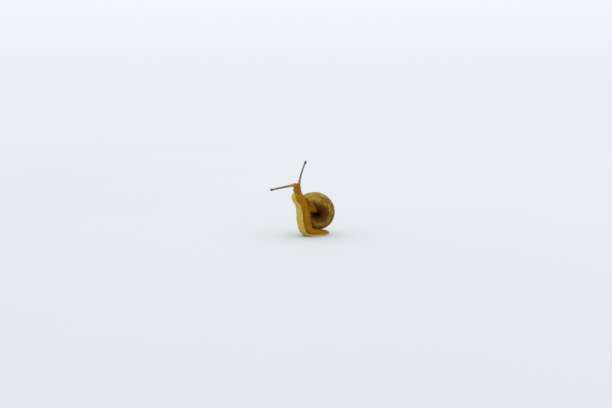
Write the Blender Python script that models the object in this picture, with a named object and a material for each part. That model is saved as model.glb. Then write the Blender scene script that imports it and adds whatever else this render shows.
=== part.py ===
"""A half-grown garden snail at life size, crawling with the front of its body reared off the ground.

Lengths are written in millimetres times MM, so the scene is in metres, +Z up.
The snail heads along -Y, its left side is +X, and the origin is on the ground under the middle of the sole.
The flesh is one loft along a bent middle line, parted into lengths, with a thin sole slab below and the back
above it; a stalk rises from it into the shell. The shell is one solid, the outer surface of a coiled tube
that grows by a constant ratio each turn.
"""

import math

import bmesh
import bpy
import numpy as np
from mathutils import Vector

MM = 0.001

# Open space between neighbouring nodes.
PART_GAP = 0.25 * MM

# Shell. Shares are of LIP_REACH, the distance from the coiling axis to the outermost point of the lip.
LIP_REACH = 9.15 * MM
WHORL_GROWTH = 2.0
WHORLS = 3.6
TUBE_RADIUS_SHARE = 0.489
TUBE_DROP_SHARE = 0.84
CORE_DEPTH_SHARE = 0.56
CORE_RADIUS_SHARE = 0.24
NUCLEUS_RADIUS = 0.42 * MM
LIP_SLANT = 0.30
SHELL_AXIS_POINT = (0.3 * MM, -1.12 * MM, 8.48 * MM)
SPIRE_LIFT = math.radians(-16)
SPIRE_BACK = math.radians(15)
LIP_RISE = math.radians(42)
SHELL_COLUMNS = 72
SHELL_ROWS = 28

# Body, from the tip of the tail to the crown of the head, in millimetres:
# place along Y, height of the middle line, half width, half height.
BODY_STATIONS = (
    (4.80, 0.24, 0.35, 0.26),
    (3.90, 0.50, 1.15, 0.55),
    (2.50, 0.80, 2.00, 0.85),
    (0.20, 1.02, 2.60, 1.12),
    (-2.95, 1.30, 2.85, 1.50),
    (-5.40, 2.30, 2.80, 2.20),
    (-6.50, 5.60, 2.65, 2.35),
    (-6.85, 9.60, 2.45, 2.30),
    (-7.75, 12.70, 2.12, 2.15),
    (-9.20, 15.30, 1.80, 2.26),
    (-9.35, 17.80, 1.46, 1.27),
    (-9.45, 19.35, 1.42, 1.18),
    (-9.30, 20.35, 0.85, 0.65),
)
CROWN = len(BODY_STATIONS) - 1
RING_POINTS = 24
RINGS_PER_STATION = 3
SOLE_SQUARENESS = 0.5
SOLE_FLARE = 0.12
SOLE_LEVEL = -0.5
TAIL_SWAY = -1.5
TAIL_SWAY_RUN = 4.3

# Where the lengths of the body meet, counted in stations from the tail.
TAIL_END = 2.0
FOOT_BEND = 4.3
BACK_END = 5.4
TRUNK_END = 8.1
NECK_END = 9.5

# The stalk of flesh from the shell's mouth down into the body; the mantle collar is its outer layer.
STALK_END = (0.0 * MM, -6.6 * MM, 8.7 * MM)
STALK_END_RADIUS = 2.0 * MM
STALK_MOUTH_SHARE = 0.95
COLLAR_THICKNESS = 1.1 * MM

FEELER_SIDES = 12

# Feelers: root in millimetres, direction, length and bow of each, the left side first.
UPPER_ROOTS = ((0.86, -9.25, 19.95), (-0.86, -9.55, 20.0))
UPPER_DIRECTIONS = ((0.49, 0.03, 0.85), (-0.28, -0.941, -0.194))
UPPER_LENGTHS = (10.65 * MM, 9.8 * MM)
UPPER_BOWS = (-0.45 * MM, 0.02 * MM)
FEELER_LENGTHS = (("base", 0.0, 0.31), ("middle", 0.335, 0.63), ("tip", 0.655, 0.93))
# Radii at the root, of the shaft above the root's flare, and of the shaft at the tip, the left side first.
UPPER_RADII = ((0.60 * MM, 0.37 * MM, 0.28 * MM), (0.76 * MM, 0.45 * MM, 0.34 * MM))
FEELER_FLARE_SHARE = 0.30
ROOT_ROUNDING = 0.35
EYE_RADIUS = 0.44 * MM
LOWER_ROOTS = ((0.60, -10.0, 18.6), (-0.60, -10.0, 18.6))
LOWER_DIRECTIONS = ((0.40, -0.70, -0.59), (-0.40, -0.70, -0.59))
LOWER_LENGTH = 1.45 * MM
LOWER_RADIUS = 0.30 * MM

# Colours, from dark to light.
EYE_COLOR = (0.045, 0.022, 0.013)
FEELER_COLOR = (0.21, 0.15, 0.11)
HEAD_COLOR = (0.30, 0.125, 0.022)
NECK_COLOR = (0.33, 0.18, 0.03)
SHELL_COLOR = (0.32, 0.19, 0.05)
SOLE_COLOR = (0.47, 0.33, 0.08)


def catmull_rom(rows, places):
    """Values on a smooth curve through the rows, at places counted in rows."""
    rows = np.asarray(rows, float)
    ends = np.vstack([2 * rows[0] - rows[1], rows, 2 * rows[-1] - rows[-2]])
    first = np.clip(places.astype(int), 0, len(rows) - 2)
    t = (places - first)[:, None]
    a, b, c, d = (ends[first + step] for step in range(4))
    return 0.5 * (2 * b + (c - a) * t + (2 * a - 5 * b + 4 * c - d) * t**2 + (3 * b - a - 3 * c + d) * t**3)


def new_object(name, vertices, faces, material):
    """A mesh object of these faces, with its normals turned outwards."""
    mesh = bpy.data.meshes.new(name)
    mesh.from_pydata([tuple(v) for v in vertices], [], faces)
    shape = bmesh.new()
    shape.from_mesh(mesh)
    bmesh.ops.remove_doubles(shape, verts=shape.verts, dist=0.002 * MM)
    bmesh.ops.recalc_face_normals(shape, faces=shape.faces)
    shape.to_mesh(mesh)
    shape.free()
    mesh.materials.append(material)
    obj = bpy.data.objects.new(name, mesh)
    bpy.context.scene.collection.objects.link(obj)
    return obj


def loft(name, rings, material):
    """A closed solid through rings of equally many points, with flat ends."""
    rings = np.asarray(rings, float)
    count, sides = rings.shape[:2]
    faces = [tuple(range(sides)), tuple(range((count - 1) * sides, count * sides))]
    for ring in range(count - 1):
        for side in range(sides):
            after = (side + 1) % sides
            low = ring * sides
            high = low + sides
            faces.append((low + side, low + after, high + after, high + side))
    return new_object(name, rings.reshape(-1, 3), faces, material)


def boolean(obj, other, operation):
    """Applies a Boolean with the other object to this one's mesh."""
    modifier = obj.modifiers.new(operation.title(), "BOOLEAN")
    modifier.operation = operation
    modifier.object = other
    modifier.solver = "EXACT"
    graph = bpy.context.evaluated_depsgraph_get()
    result = bpy.data.meshes.new_from_object(obj.evaluated_get(graph))
    obj.modifiers.clear()
    obj.data = result
    return obj


def cut_away(obj, *cutters):
    """Cuts each cutter out of the object."""
    for cutter in cutters:
        boolean(obj, cutter, "DIFFERENCE")
    return obj


def finish(name, color, roughness):
    """A plain finish of one colour, in a node's own material."""
    material = bpy.data.materials.new(name)
    material.use_nodes = True
    shader = material.node_tree.nodes["Principled BSDF"]
    shader.inputs["Base Color"].default_value = (*color, 1)
    shader.inputs["Roughness"].default_value = roughness
    shader.inputs["Metallic"].default_value = 0
    material.diffuse_color = (*color, 1)
    return material


# ---------------------------------------------------------------- shell


def shell_frame():
    """The shell's own directions: the way the tube grows at the lip, the lip's own, and the apex's."""
    apex = Vector(
        (
            -math.cos(SPIRE_LIFT) * math.cos(SPIRE_BACK),
            math.cos(SPIRE_LIFT) * math.sin(SPIRE_BACK),
            math.sin(SPIRE_LIFT),
        )
    )
    lip = Vector((0, -math.cos(LIP_RISE), math.sin(LIP_RISE)))
    lip = (lip - apex * apex.dot(lip)).normalized()
    return lip.cross(apex), lip, apex


def ray_to_ellipse(sine, cosine, radius, height, half_width, half_height):
    """How far along a ray from the core, in a plane through the axis, it last meets an ellipse; 0 for a miss."""
    a = (sine / half_width) ** 2 + (cosine / half_height) ** 2
    b = -2 * (sine * radius / half_width**2 + cosine * height / half_height**2)
    c = (radius / half_width) ** 2 + (height / half_height) ** 2 - 1
    inside = b * b - 4 * a * c
    far = (-b + np.sqrt(np.maximum(inside, 0))) / (2 * a)
    return np.where(inside > 0, np.maximum(far, 0), 0)


def shell_reach(turn, polar, offset):
    """Distance from the core to the outer surface, at a turn of the coil (0 at the lip, negative before it)
    and an angle from the apex: the furthest of all whorls in that direction, which grow as a power of the turn."""
    sine, cosine = np.sin(polar), np.cos(polar)
    core_depth = CORE_DEPTH_SHARE * LIP_REACH
    nucleus_height = core_depth - NUCLEUS_RADIUS
    found = [
        np.full_like(sine * turn, CORE_RADIUS_SHARE * LIP_REACH),
        ray_to_ellipse(sine, cosine, 0, nucleus_height, NUCLEUS_RADIUS, NUCLEUS_RADIUS) + 0 * turn,
    ]
    for earlier in range(math.ceil(WHORLS)):
        scale = LIP_REACH * WHORL_GROWTH ** (turn - earlier)
        tube = TUBE_RADIUS_SHARE * scale
        found.append(
            ray_to_ellipse(
                sine,
                cosine,
                scale - tube,
                core_depth - TUBE_DROP_SHARE * scale,
                tube,
                tube,
            )
        )
    return np.max(found, axis=0) + offset


def shell_solid(name, material, offset=0.0):
    """The shell as columns round the axis; the last column and the first stand at one angle, and the faces
    between them are the plane of the mouth. An offset makes it fatter all round, for cutting room."""
    grow, lip, apex = (np.array(v) for v in shell_frame())
    axis_point = np.array(SHELL_AXIS_POINT)
    core = axis_point + apex * (TUBE_DROP_SHARE - CORE_DEPTH_SHARE) * LIP_REACH
    lead = offset / (0.5 * LIP_REACH) / (2 * math.pi)
    turns = np.linspace(-1 + lead, lead, SHELL_COLUMNS + 1)[:, None]
    polar = np.linspace(0, math.pi, SHELL_ROWS + 1)[None, 1:-1]
    reach = shell_reach(turns - lead, polar, offset)
    angle = 2 * math.pi * turns + LIP_SLANT * np.cos(polar)
    across = reach * np.sin(polar)
    points = (
        core
        + (across * np.cos(angle))[..., None] * lip
        + (across * np.sin(angle))[..., None] * grow
        + (reach * np.cos(polar))[..., None] * apex
    )
    columns, rows = reach.shape
    top = core + apex * shell_reach(0.0, np.array([0.0]), offset)[0]
    bottom = core - apex * shell_reach(0.0, np.array([math.pi]), offset)[0]
    vertices = np.vstack([points.reshape(-1, 3), top, bottom])
    faces = []
    for column in range(columns):
        here = column * rows
        there = (column + 1) % columns * rows
        faces.append((here, there, columns * rows))
        faces.append((there + rows - 1, here + rows - 1, columns * rows + 1))
        for row in range(rows - 1):
            faces.append((here + row, here + row + 1, there + row + 1, there + row))
    return new_object(name, vertices, faces, material)


def mouth_frame():
    """The middle of the shell's mouth, the way it faces and two directions in its plane."""
    grow, lip, apex = shell_frame()
    middle = Vector(SHELL_AXIS_POINT) + lip * (1 - TUBE_RADIUS_SHARE) * LIP_REACH
    facing = (grow * math.cos(LIP_SLANT) - apex * math.sin(LIP_SLANT)).normalized()
    side = lip.cross(facing).normalized()
    return middle, facing, lip, side


# ---------------------------------------------------------------- flesh


def half_gap(place):
    """Half the gap between two lengths of the body, counted in stations, at a place on its middle line."""
    step = 0.01
    ends = catmull_rom(BODY_STATIONS, np.array([place - step, place + step]))[:, :2] * MM
    return PART_GAP / 2 * 2 * step / np.linalg.norm(ends[1] - ends[0])


def body_rings(start, stop, side="whole", swell=0.0):
    """Rings across the body's middle line. The upper half is round; the lower half is squared into a sole that
    flares a little at its edges and is pressed flat on the ground. The sole alone, or the back alone, is what
    lies below or above a level surface through the ring."""
    count = max(2, round((stop - start) * RINGS_PER_STATION)) + 1
    places = np.linspace(start, stop, count)
    step = 0.01
    stations = catmull_rom(BODY_STATIONS, places) * MM
    ahead = catmull_rom(BODY_STATIONS, places + step)[:, :2]
    behind = catmull_rom(BODY_STATIONS, places - step)[:, :2]
    along = (ahead - behind) / np.linalg.norm(ahead - behind, axis=1)[:, None]
    back = np.stack([along[:, 1], -along[:, 0]], axis=1)
    angle = np.linspace(0, 2 * math.pi, RING_POINTS, endpoint=False)
    cosine, sine = np.cos(angle), np.sin(angle)
    soled = np.clip((NECK_END - places) / half_gap(NECK_END), 0, 1)[:, None]
    power = np.where(sine < 0, 1 - (1 - SOLE_SQUARENESS) * soled, 1.0)
    flare = 1 + SOLE_FLARE * soled * np.clip(-sine * 2, 0, 1)
    wide = np.sign(cosine) * np.abs(cosine) ** power * flare * (stations[:, 2:3] + swell)
    high = np.sign(sine) * np.abs(sine) ** power * (stations[:, 3:4] + swell)
    level = SOLE_LEVEL * stations[:, 3:4]
    if side == "sole":
        high = np.minimum(high, level - PART_GAP / 2)
    if side == "back":
        high = np.maximum(high, level + PART_GAP / 2)
    rings = np.empty((count, RING_POINTS, 3))
    rings[..., 0] = wide + TAIL_SWAY * MM * np.clip(stations[:, :1] / (TAIL_SWAY_RUN * MM), 0, 1) ** 2
    rings[..., 1:] = stations[:, None, :2] + high[..., None] * back[:, None]
    rings[..., 2] = np.maximum(rings[..., 2], 0)
    return rings


def body_length(name, start, stop, side, material):
    """One length of the body, short of its neighbours by half a gap at each end that has one."""
    first = start + half_gap(start) if start > 0 else start
    last = stop - half_gap(stop) if stop < CROWN else stop
    return loft(name, body_rings(first, last, side), material)


def stalk(name, start, stop, material):
    """Flesh between two depths below the shell's mouth: it fills the mouth and narrows into the body."""
    middle, facing, lip, side = (np.array(v) for v in mouth_frame())
    run = np.array(STALK_END) - middle
    share = np.linspace(start, stop, 7) / np.linalg.norm(run)
    mouth_radius = STALK_MOUTH_SHARE * TUBE_RADIUS_SHARE * LIP_REACH
    radius = mouth_radius + (STALK_END_RADIUS - mouth_radius) * share
    angle = np.linspace(0, 2 * math.pi, RING_POINTS, endpoint=False)
    ring = np.cos(angle)[:, None] * lip + np.sin(angle)[:, None] * side
    return loft(name, (middle + share[:, None] * run)[:, None] + radius[:, None, None] * ring, material)


def trunk(shell_room, neck_room, material):
    """The length of the back below the neck, joined with the stalk that rises from it into the shell."""
    middle = np.array(mouth_frame()[0])
    depth = np.linalg.norm(np.array(STALK_END) - middle)
    body = body_length("trunk", BACK_END, TRUNK_END, "back", material)
    rise = stalk("rise", COLLAR_THICKNESS + PART_GAP, depth, material)
    cut_away(rise, neck_room)
    boolean(body, rise, "UNION")
    cut_away(body, shell_room)


# ---------------------------------------------------------------- feelers


def feeler_path(root, direction, length, bow, share):
    """Points along a feeler, straight but for a bow in its middle."""
    root = np.array(root) * MM
    direction = np.array(direction) / np.linalg.norm(direction)
    side = np.cross(direction, (1.0, 0.2, 0.0))
    side /= np.linalg.norm(side)
    return root + direction * (length * share)[:, None] + side * (bow * np.sin(math.pi * share))[:, None]


def tube(name, path, radius, material):
    """A round solid with these radii along a path, its rings square to the path."""
    along = np.gradient(path, axis=0)
    along /= np.linalg.norm(along, axis=1)[:, None]
    first = np.cross(along, (1.0, 0.3, 0.2))
    first /= np.linalg.norm(first, axis=1)[:, None]
    second = np.cross(along, first)
    angle = np.linspace(0, 2 * math.pi, FEELER_SIDES, endpoint=False)[None, :, None]
    ring = np.cos(angle) * first[:, None] + np.sin(angle) * second[:, None]
    return loft(name, path[:, None] + radius[:, None, None] * ring, material)


def ball(name, centre, radius, material):
    """A sphere, as the eye in its bulb at a feeler's end."""
    shape = bmesh.new()
    bmesh.ops.create_icosphere(shape, subdivisions=3, radius=radius)
    bmesh.ops.translate(shape, verts=shape.verts, vec=Vector(centre))
    mesh = bpy.data.meshes.new(name)
    shape.to_mesh(mesh)
    shape.free()
    mesh.materials.append(material)
    obj = bpy.data.objects.new(name, mesh)
    bpy.context.scene.collection.objects.link(obj)
    return obj


def upper_feeler(side, index, head_room):
    """A long feeler in three lengths, flared at its root and tapering to the tip, with the eye at its end."""
    line = (UPPER_ROOTS[index], UPPER_DIRECTIONS[index], UPPER_LENGTHS[index], UPPER_BOWS[index])
    root_radius, shaft_radius, tip_radius = UPPER_RADII[index]
    for length, start, stop in FEELER_LENGTHS:
        name = f"{side}_feeler_{length}"
        share = np.linspace(start, stop, 7)
        flare = np.clip(1 - share / FEELER_FLARE_SHARE, 0, 1) ** 1.3
        radius = shaft_radius + (tip_radius - shaft_radius) * share + (root_radius - shaft_radius) * flare
        radius = radius * (1 - ROOT_ROUNDING * (share == 0))
        piece = tube(name, feeler_path(*line, share), radius, finish(name, FEELER_COLOR, 0.4))
        if start == 0:
            cut_away(piece, head_room)
    name = f"{side}_eye"
    ball(name, feeler_path(*line, np.array([1.0]))[0], EYE_RADIUS, finish(name, EYE_COLOR, 0.2))


def lower_feeler(side, index, head_room):
    """A short blunt feeler beside the mouth."""
    name = f"{side}_lower_feeler"
    path = feeler_path(LOWER_ROOTS[index], LOWER_DIRECTIONS[index], LOWER_LENGTH, 0, np.linspace(0, 1, 6))
    radius = LOWER_RADIUS * np.array([1.1, 1.05, 1.0, 0.98, 0.92, 0.6])
    cut_away(tube(name, path, radius, finish(name, HEAD_COLOR, 0.4)), head_room)


def main():
    for obj in list(bpy.data.objects):
        bpy.data.objects.remove(obj)
    spare = finish("spare", HEAD_COLOR, 0.5)
    shell_solid("shell", finish("shell", SHELL_COLOR, 0.3))
    shell_room = shell_solid("shell_room", spare, PART_GAP)
    body_room = loft("body_room", body_rings(TAIL_END, CROWN, "whole", PART_GAP), spare)
    neck_room = loft("neck_room", body_rings(TRUNK_END - half_gap(TRUNK_END), CROWN, "whole", PART_GAP), spare)

    body_length("tail", 0, TAIL_END, "whole", finish("tail", SOLE_COLOR, 0.4))
    body_length("foot_middle", TAIL_END, FOOT_BEND, "sole", finish("foot_middle", SOLE_COLOR, 0.4))
    body_length("foot_front", FOOT_BEND, NECK_END, "sole", finish("foot_front", SOLE_COLOR, 0.4))
    cut_away(body_length("foot_back", TAIL_END, BACK_END, "back", finish("foot_back", NECK_COLOR, 0.4)), shell_room)
    trunk(shell_room, neck_room, finish("trunk", NECK_COLOR, 0.4))
    cut_away(body_length("neck", TRUNK_END, NECK_END, "back", finish("neck", NECK_COLOR, 0.4)), shell_room)
    body_length("head", NECK_END, CROWN, "whole", finish("head", HEAD_COLOR, 0.4))
    collar = stalk("mantle_collar", PART_GAP, COLLAR_THICKNESS, finish("mantle_collar", NECK_COLOR, 0.4))
    cut_away(collar, shell_room, body_room)
    for index, side in enumerate(("left", "right")):
        upper_feeler(side, index, body_room)
        lower_feeler(side, index, body_room)

    for obj in list(bpy.data.objects):
        if obj.name in ("shell_room", "body_room", "neck_room", "rise"):
            bpy.data.objects.remove(obj)
        else:
            obj.data.shade_smooth()
            obj.data.set_sharp_from_angle(angle=math.radians(40))


main()
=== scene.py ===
import math

import bpy
import numpy as np
from bpy.props import FloatProperty, FloatVectorProperty, PointerProperty
from mathutils import Matrix, Vector


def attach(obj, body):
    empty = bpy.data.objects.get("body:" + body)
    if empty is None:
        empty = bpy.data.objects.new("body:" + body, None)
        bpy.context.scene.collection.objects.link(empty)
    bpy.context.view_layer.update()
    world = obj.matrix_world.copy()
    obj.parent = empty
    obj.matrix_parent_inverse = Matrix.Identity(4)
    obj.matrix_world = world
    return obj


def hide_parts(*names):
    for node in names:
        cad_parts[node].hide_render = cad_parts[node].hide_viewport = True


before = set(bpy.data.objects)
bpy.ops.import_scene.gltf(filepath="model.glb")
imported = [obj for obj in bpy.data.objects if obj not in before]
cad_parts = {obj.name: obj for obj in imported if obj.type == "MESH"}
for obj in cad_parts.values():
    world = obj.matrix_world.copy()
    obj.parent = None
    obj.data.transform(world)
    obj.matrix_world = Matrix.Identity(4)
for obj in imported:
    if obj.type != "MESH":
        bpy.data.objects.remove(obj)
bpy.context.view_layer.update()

bl_info = {
    "name": "Garden snail",
    "version": (1, 0, 0),
    "blender": (4, 5, 0),
    "location": "3D View > Sidebar > Snail",
    "description": "Living skin, coiled shell, eyes and a studio for a half-grown garden snail",
    "category": "Object",
}

MM = 0.001

# -------- sizes shared with the solids, in millimetres

# From the axis to the tube's outer side at the lip, and how much every length grows in one turn.
LIP_REACH = 9.15
WHORL_GROWTH = 2.0
WHORLS = 3.6
# Shares of that reach: the tube's radius, its slide down the axis, and the depth where the lip has no slant.
TUBE_RADIUS_SHARE = 0.489
TUBE_DROP_SHARE = 0.84
CORE_DEPTH_SHARE = 0.56
LIP_SLANT = 0.30
NUCLEUS_RADIUS = 0.48
# Where the axis passes the lip's level, which way the apex points and how steeply the lip rises.
SHELL_AXIS_POINT = np.array((0.3, -1.12, 8.48))
SPIRE_LIFT = math.radians(-16)
SPIRE_BACK = math.radians(15)
LIP_RISE = math.radians(42)

# Place along Y, height of the middle line, half width, half height, from the tail's tip to the crown.
BODY_STATIONS = (
    (4.80, 0.24, 0.35, 0.26),
    (3.90, 0.50, 1.15, 0.55),
    (2.50, 0.80, 2.00, 0.85),
    (0.20, 1.02, 2.60, 1.12),
    (-2.95, 1.30, 2.85, 1.50),
    (-5.40, 2.30, 2.80, 2.20),
    (-6.50, 5.60, 2.65, 2.35),
    (-6.85, 9.60, 2.45, 2.30),
    (-7.75, 12.70, 2.12, 2.15),
    (-9.20, 15.30, 1.80, 2.26),
    (-9.35, 17.80, 1.46, 1.27),
    (-9.45, 19.35, 1.42, 1.18),
    (-9.30, 20.35, 0.85, 0.65),
)
# Places counted in stations: the crown, the neck's and the sole's end, the run of the sole's round end.
CROWN = len(BODY_STATIONS) - 1
NECK_END = 9.5
SOLE_END = 9.72
SOLE_END_RUN = 0.85
# How far the tail's tip lies to the right, and over which length it gets there.
TAIL_SWAY = -1.5
TAIL_SWAY_RUN = 4.3
# Where the flesh from the shell's mouth ends inside the body.
STALK_END = np.array((0.0, -6.6, 8.7))
STALK_END_RADIUS = 2.0

# Feelers, the left one first, with radii at the root, above the root's flare and at the tip.
SIDES = ("left", "right")
UPPER_ROOTS = ((0.86, -9.25, 19.95), (-0.86, -9.55, 20.0))
UPPER_DIRECTIONS = ((0.49, 0.03, 0.85), (-0.28, -0.941, -0.194))
UPPER_LENGTHS = (10.65, 9.8)
UPPER_BOWS = (-0.45, 0.02)
UPPER_RADII = ((0.60, 0.37, 0.28), (0.76, 0.45, 0.34))
FEELER_FLARE_SHARE = 0.30
BULB_RADIUS = 0.42
LOWER_ROOTS = ((0.60, -10.0, 18.6), (-0.60, -10.0, 18.6))
LOWER_DIRECTIONS = ((0.40, -0.70, -0.59), (-0.40, -0.70, -0.59))
LOWER_RADIUS = 0.26

# -------- the visible surfaces' own sizes, in millimetres

# Sides of a section and rows along a length.
SHELL_SIDES, SHELL_ROWS = 112, 620
FLESH_SIDES, BODY_ROWS, DOME_ROWS, SOLE_ROWS = 72, 150, 8, 170
UPPER_ROWS, LOWER_ROWS = 110, 24
# Growth ridges: height and number in a turn, and the strength, number and start of the slower wave that
# crowds them; then the turns over which they fade in from the apex.
RIDGE_WAVES = ((0.45, 34, 1.7, 3.1, 0), (0.35, 57, 2.1, 4.3, 1), (0.55, 12.7, 1.3, 2.2, 2))
RIDGE_FADE = (-2.9, -1.6)
# Turns of inner wall behind the lip. The lip's round edge: turns past the lip, shares of the wall inwards.
INNER_WALL_TURNS = 0.22
LIP_EDGE_TURNS = (0.0025, 0.0035, 0.0025)
LIP_EDGE_DEPTHS = (0.15, 0.5, 0.85)
CROWN_LIFT = 0.24
SOLE_HALF_THICKNESS = 0.46
# Flesh in the shell's mouth: turns past the lip, with its distance inside the wall. The mantle's rolled
# edge: steps out of the mouth, with the share of the mouth's width.
MOUTH_WALL = 0.25
MOUTH_FLESH = ((-0.055, 0.5), (-0.035, 0.25), (-0.02, 0.1), (-0.008, 0.06))
MANTLE_ROLL = ((0.05, 0.985), (0.22, 0.975), (0.42, 0.93), (0.58, 0.86), (0.68, 0.80))
# Beside the solids, the long feelers are fuller at the root and the lower ones shorter. A long feeler's bulb
# closes at UPPER_END, a share of its length.
ROOT_FULLNESS = 1.08
LOWER_LENGTH = 1.22
UPPER_END = 1.04
# Lumps that round the head, each a place and three radii. The paired ones are the left side's lips, their
# lower corners, the cheeks and the swellings below the long feelers.
PAIRED_LUMPS = (
    ((0.44, -10.44, 17.55), (0.50, 0.50, 0.46)),
    ((0.26, -10.56, 17.24), (0.32, 0.38, 0.30)),
    ((0.78, -9.95, 18.35), (0.62, 0.60, 0.62)),
    ((0.52, -10.32, 19.05), (0.62, 0.56, 0.60)),
)
FOREHEAD_LUMP = ((0.0, -10.15, 18.55), (0.95, 0.62, 1.05))
CROWN_LUMP = ((0.0, -9.6, 19.95), (1.15, 0.95, 0.55))
# The breathing hole in the mantle's roll: turn past the lip, angle in the section, depth inside the wall.
PORE_TURN, PORE_ANGLE, PORE_INSET, PORE_RADIUS = 0.008, 1.9, 0.55, 0.16
# The mouth's upright slit: height above the floor, half height and half width.
SLIT_HEIGHT, SLIT_REACH, SLIT_WIDTH = 17.35, 0.30, 0.09
SOLE_WAVE_LENGTH, SOLE_WAVE_HEIGHT = 0.95, 0.018
RIM_FOLD_LENGTH, RIM_FOLD_HEIGHT = 0.62, 0.024
MOUTH_DEPTH, PORE_DEPTH = 0.16, 0.30
# Skin lower than this is laid flat on the floor.
FLOOR_CONTACT = 0.05
# How far an eye's middle lies past the end of its feeler's shaft.
EYE_SEAT = 0.21

# -------- studio, in metres

FLOOR_RINGS = (0.0005, 0.3, 1.0, 4.0, 12.0)
FLOOR_SIDES = 96
# The far floor's tone beside the near floor's, which ends it in the horizon's tone.
FAR_FLOOR_TINT = (1.075, 1.072, 1.115)
KEY_PLACE = (-0.12, 0.30, 0.55)
KEY_WIDTH = 0.40


# -------- settings


def colour(name, description, default):
    """A colour setting."""
    return FloatVectorProperty(
        name=name, description=description, default=default, subtype="COLOR", size=3, min=0, max=1
    )


def number(name, description, default, **options):
    """A number setting."""
    return FloatProperty(name=name, description=description, default=default, **options)


def size(name, description, default):
    """A length setting in metres."""
    return number(name, description, default, unit="LENGTH", min=0, precision=6)


def angle(name, description, degrees):
    """An angle setting."""
    return number(name, description, math.radians(degrees), subtype="ANGLE")


class SkinSettings(bpy.types.PropertyGroup):
    head: colour("Head", "Amber of the head and the nape", (0.315, 0.105, 0.0015))
    flank: colour("Flank", "Golden amber of the neck's sides", (0.33, 0.155, 0.002))
    sole: colour("Sole", "Pale yellow of the sole and its rim", (0.56, 0.385, 0.062))
    root: colour("Feeler root", "Pale cream at the foot of the feelers", (0.40, 0.25, 0.12))
    shaft: colour("Feeler shaft", "Taupe of the feelers", (0.190, 0.132, 0.092))
    bulb: colour("Feeler bulb", "Dark brown round the eyes", (0.040, 0.020, 0.012))
    mouth: colour("Mouth", "Red-brown in the mouth's fold", (0.085, 0.020, 0.005))
    relief: size("Tubercle height", "How far the skin's tubercles stand up", 0.07 * MM)
    grain: size("Tubercle width", "Width of one tubercle on the flank", 0.30 * MM)
    voxel: size("Skin detail", "Edge length of the skin's mesh", 0.0945 * MM)


class ShellSettings(bpy.types.PropertyGroup):
    horn: colour("Horn", "Golden brown of the shell's rounded side", (0.235, 0.110, 0.0045))
    light: colour("Light horn", "Pale tan of the shell's shoulder", (0.315, 0.215, 0.034))
    band: colour("Band", "Brown of the spiral bands", (0.100, 0.039, 0.003))
    # Dark: the body seen through the horn round the navel, with painted shade of the shell's underside.
    dark: colour("Dark", "Near-black brown round the navel", (0.023, 0.0054, 0.0002))
    fleck: colour("Fleck", "Yellow of the flecks", (0.54, 0.41, 0.080))
    ridge: size("Growth ridge height", "How far the growth ridges stand up", 0.035 * MM)
    wall: size("Wall", "Thickness of the shell's wall at the lip", 0.16 * MM)


class EyeSettings(bpy.types.PropertyGroup):
    bead: colour("Eye", "Dark brown of the eye", (0.020, 0.009, 0.006))
    radius: size("Eye radius", "Radius of the eye at the feeler's end", 0.29 * MM)


class StudioSettings(bpy.types.PropertyGroup):
    floor: colour("Floor", "Pale floor", (0.500, 0.533, 0.570))
    horizon: colour("Horizon", "Pale surroundings at the horizon", (0.800, 0.850, 0.905))
    overhead: colour("Overhead", "Soft light from above", (1.0, 0.985, 0.93))
    overhead_strength: number("Overhead strength", "Brightness straight above", 1.75)
    key: number("Key light", "Power of the large soft light", 0.5, unit="POWER")
    azimuth: angle("Azimuth", "Camera's turn from straight ahead", 65)
    elevation: angle("Elevation", "Camera's height angle", 8)
    distance: size("Distance", "Camera's distance from the snail", 0.33)
    aside: size("Aside", "How far the snail stands to the right of the view's middle", 5.32 * MM)
    below: size("Below", "How far the ground lies below the view's middle", 11.925 * MM)
    focal: number("Focal length", "Lens, in millimetres", 50.0)


# -------- curves and meshes


def catmull_rom(rows, places):
    """Values on a smooth curve through the rows. Its slope at a row is half the difference of the rows
    on either side."""
    rows = np.asarray(rows, float)
    ends = np.vstack([2 * rows[0] - rows[1], rows, 2 * rows[-1] - rows[-2]])
    first = np.clip(places.astype(int), 0, len(rows) - 2)
    t = (places - first)[:, None]
    a, b, c, d = (ends[first + step] for step in range(4))
    square, cube = 2 * a - 5 * b + 4 * c - d, 3 * b - a - 3 * c + d
    return 0.5 * (2 * b + (c - a) * t + square * t**2 + cube * t**3)


def smoothstep(low, high, value):
    """A ramp from 0 at low to 1 at high, level at both ends: 3t^2 - 2t^3."""
    t = np.clip((value - low) / (high - low), 0, 1)
    return t * t * (3 - 2 * t)


def unit(vectors):
    """Vectors divided by their lengths."""
    return vectors / np.linalg.norm(vectors, axis=-1, keepdims=True)


def square_axes(along):
    """Two directions square to these and to each other."""
    first = unit(np.cross(along, (1.0, 0.3, 0.2)))
    return first, np.cross(along, first)


def circle_angles(sides, start=0.0):
    """Angles of one whole turn in equal steps, without the last, which repeats the first."""
    return np.linspace(start, start + 2 * math.pi, sides + 1)[:-1]


def grid_faces(rows, columns, start=0):
    """Four-sided faces of a grid whose last column meets its first, numbered from a first vertex."""
    row, column = np.meshgrid(np.arange(rows - 1), np.arange(columns), indexing="ij")
    after = (column + 1) % columns
    low, high = row * columns, (row + 1) * columns
    return start + np.stack([low + column, low + after, high + after, high + column], -1).reshape(-1, 4)


def rings_to_solid(rings, start=0):
    """Vertices and faces of a closed solid through rings, with a point in the middle of each end."""
    count, sides = rings.shape[:2]
    points = np.vstack([rings.reshape(-1, 3), rings[0].mean(0), rings[-1].mean(0)])
    quads = grid_faces(count, sides, start)
    around = np.arange(sides)
    after = (around + 1) % sides
    first = np.stack([after, around, np.full(sides, count * sides)], -1) + start
    last = (count - 1) * sides
    second = np.stack([last + around, last + after, np.full(sides, count * sides + 1)], -1) + start
    return points, quads, np.vstack([first, second])


def joined_solids(shapes):
    """Vertices and faces of several closed solids as one mesh."""
    solids, count = [], 0
    for rings in shapes:
        solids.append(rings_to_solid(rings, count))
        count += len(solids[-1][0])
    return [np.vstack(parts) for parts in zip(*solids)]


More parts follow.
